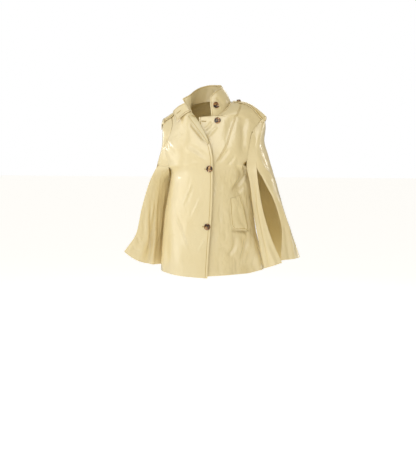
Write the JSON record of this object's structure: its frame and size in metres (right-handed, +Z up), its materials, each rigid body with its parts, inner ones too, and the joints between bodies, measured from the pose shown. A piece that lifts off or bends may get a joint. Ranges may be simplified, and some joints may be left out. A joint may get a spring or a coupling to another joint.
{
  "type": "cape coat",
  "caption": "Hip-length swing coat in glossy coated cloth with slit cape sleeves, standing collar, throat tab, epaulettes and a slanted pocket flap.",
  "frame": {"origin": "on the shoulder line at the base of the neck, midway between the shoulder tips, where the wearer carries the coat", "axes": "+Z up, the front faces -Y, the wearer's left is +X"},
  "size_m": [0.8193, 0.3901, 0.8881],
  "materials": {
    "patent_cloth": "glossy butter-yellow coated cloth",
    "tortoiseshell": "polished dark tortoiseshell resin"
  },
  "bodies": {
    "root": {"front_right": "patent_cloth", "front_left": "patent_cloth", "back": "patent_cloth", "sleeve_front_right": "patent_cloth", "sleeve_back_right": "patent_cloth", "sleeve_front_left": "patent_cloth", "sleeve_back_left": "patent_cloth", "collar": "patent_cloth", "collar_tab": "patent_cloth", "facing_right": "patent_cloth", "pocket_flap": "patent_cloth", "epaulette_left": "patent_cloth", "epaulette_right": "patent_cloth", "epaulette_loop_left": "patent_cloth", "epaulette_loop_right": "patent_cloth", "epaulette_button_left": "tortoiseshell", "epaulette_button_right": "tortoiseshell", "button_collar": "tortoiseshell", "button_chest": "tortoiseshell", "button_middle": "tortoiseshell", "button_low": "tortoiseshell"}
  },
  "joints": []
}
